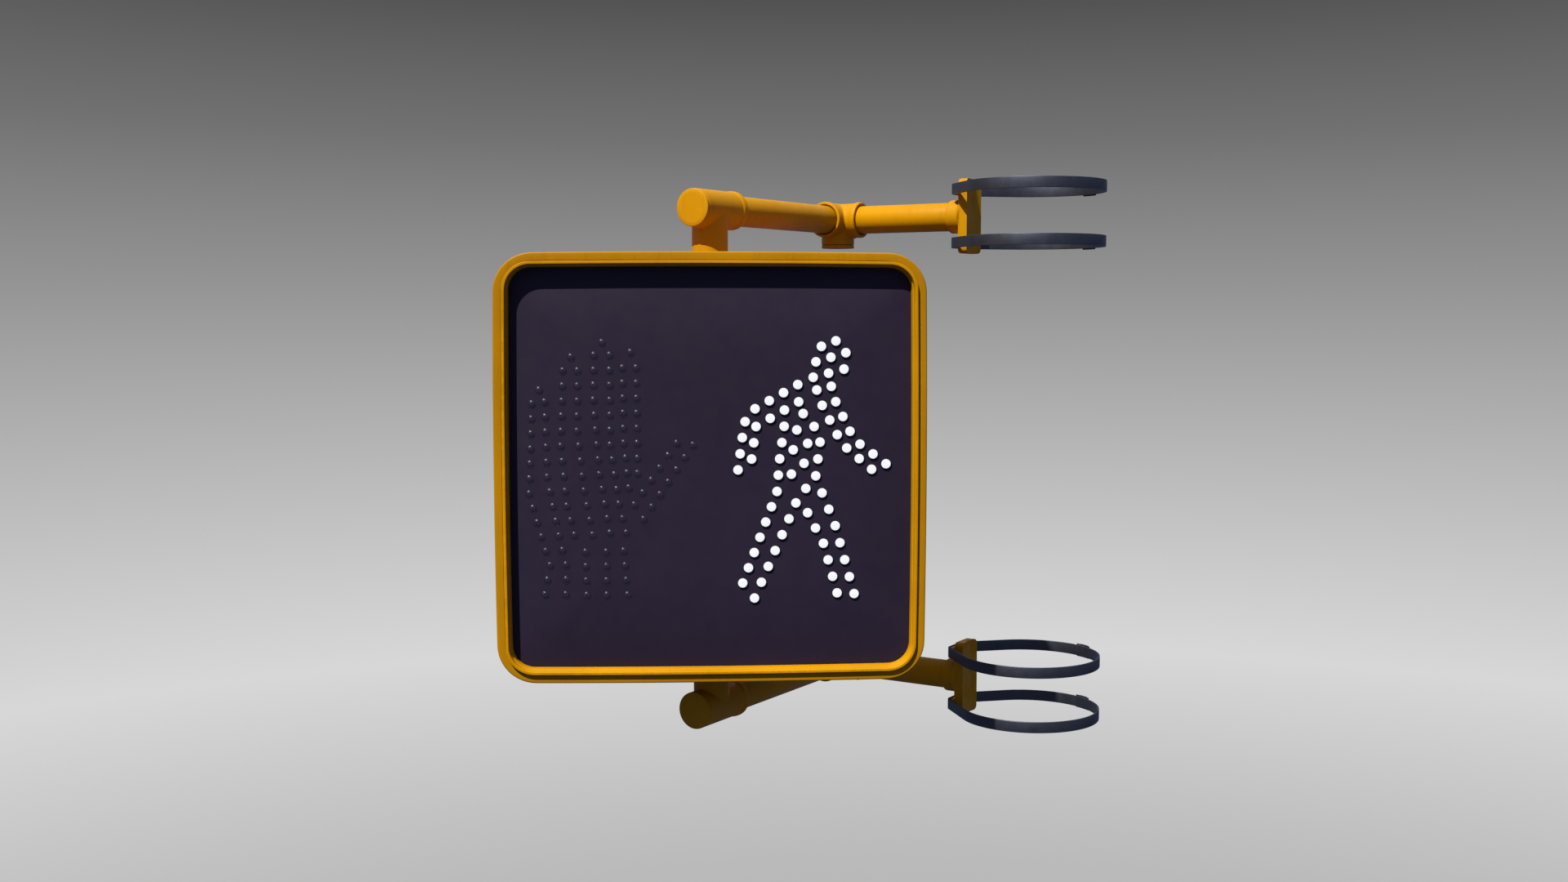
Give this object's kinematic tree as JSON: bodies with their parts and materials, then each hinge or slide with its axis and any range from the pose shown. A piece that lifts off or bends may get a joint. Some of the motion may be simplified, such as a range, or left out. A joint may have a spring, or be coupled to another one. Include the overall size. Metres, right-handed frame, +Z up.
{
  "type": "pedestrian signal head",
  "caption": "Square pedestrian signal head with dotted walker and hand symbols and a hinged front, hung between two elbowed pipe brackets banded to the side of a round pole.",
  "frame": {"origin": "on the axis of the pole the part is banded to, midway in height between the upper and lower brackets", "axes": "+Z up along the pole, -Y the way the signal's face looks at rest, +X to the pole's far side as seen from the front"},
  "size_m": [0.717, 0.4053, 0.672],
  "materials": {
    "arm_paint": "yellow paint, satin",
    "head_paint": "die cast, yellow paint, satin",
    "casting_paint": "yellow paint over rough casting",
    "band_steel": "dull dark strapping steel",
    "rubber": "moulded black",
    "zinc": "zinc plated",
    "steel": "bare steel",
    "supply_case": "mill finish",
    "panel": "dark, fine matt",
    "shell": "moulded matt",
    "board": "green circuit board",
    "block": "cream moulding"
  },
  "bodies": {
    "bracket": {"upper_tee": "casting_paint", "upper_tee_cap": "casting_paint", "upper_front_arm": "arm_paint", "upper_centre_fitting": "casting_paint", "upper_stub_plug": "casting_paint", "upper_rear_plug": "casting_paint", "upper_pole_arm": "arm_paint", "upper_pole_plate": "casting_paint", "upper_outer_band": "band_steel", "upper_outer_buckle": "band_steel", "upper_inner_band": "band_steel", "upper_inner_buckle": "band_steel", "upper_stem": "zinc", "upper_locknut": "zinc", "upper_hub_gasket": "rubber", "lower_tee": "casting_paint", "lower_tee_cap": "casting_paint", "lower_front_arm": "arm_paint", "lower_centre_fitting": "casting_paint", "lower_stub_plug": "casting_paint", "lower_rear_plug": "casting_paint", "lower_pole_arm": "arm_paint", "lower_pole_plate": "casting_paint", "lower_outer_band": "band_steel", "lower_outer_buckle": "band_steel", "lower_inner_band": "band_steel", "lower_inner_buckle": "band_steel", "lower_stem": "zinc", "lower_locknut": "zinc", "lower_hub_gasket": "rubber"},
    "head": {"case": "head_paint", "upper_hub_ring": "casting_paint", "lower_hub_ring": "casting_paint", "case_gasket": "rubber", "power_supply": "supply_case", "terminal_block": "block", "upper_hinge_pin": "steel", "lower_hinge_pin": "steel"},
    "door": {"door_frame": "head_paint", "visor_ring": "head_paint", "message_panel": "panel", "panel_gasket": "rubber", "module_shell": "shell", "led_board": "board", "upper_left_clip": "zinc", "upper_left_clip_screw": "steel", "upper_right_clip": "zinc", "upper_right_clip_screw": "steel", "lower_left_clip": "zinc", "lower_left_clip_screw": "steel", "lower_right_clip": "zinc", "lower_right_clip_screw": "steel"},
    "upper_wing_screw": {"upper_wing_screw": "steel"},
    "lower_wing_screw": {"lower_wing_screw": "steel"}
  },
  "joints": [
    {"name": "head_swivel", "type": "hinge", "parent": "bracket", "child": "head", "pos_m": [-0.39529, -0.08334, 0], "axis": [0, 0, 1], "range_deg": [-60, 60]},
    {"name": "door_hinge", "type": "hinge", "parent": "head", "child": "door", "pos_m": [-0.62529, -0.16834, 0], "axis": [0, 0, -1], "range_deg": [0, 110]},
    {"name": "upper_screw_slide", "type": "slide", "parent": "head", "child": "upper_wing_screw", "axis": [0, 1, 0], "range_m": [0, 0.012]},
    {"name": "lower_screw_slide", "type": "slide", "parent": "head", "child": "lower_wing_screw", "axis": [0, 1, 0], "range_m": [0, 0.012]}
  ]
}
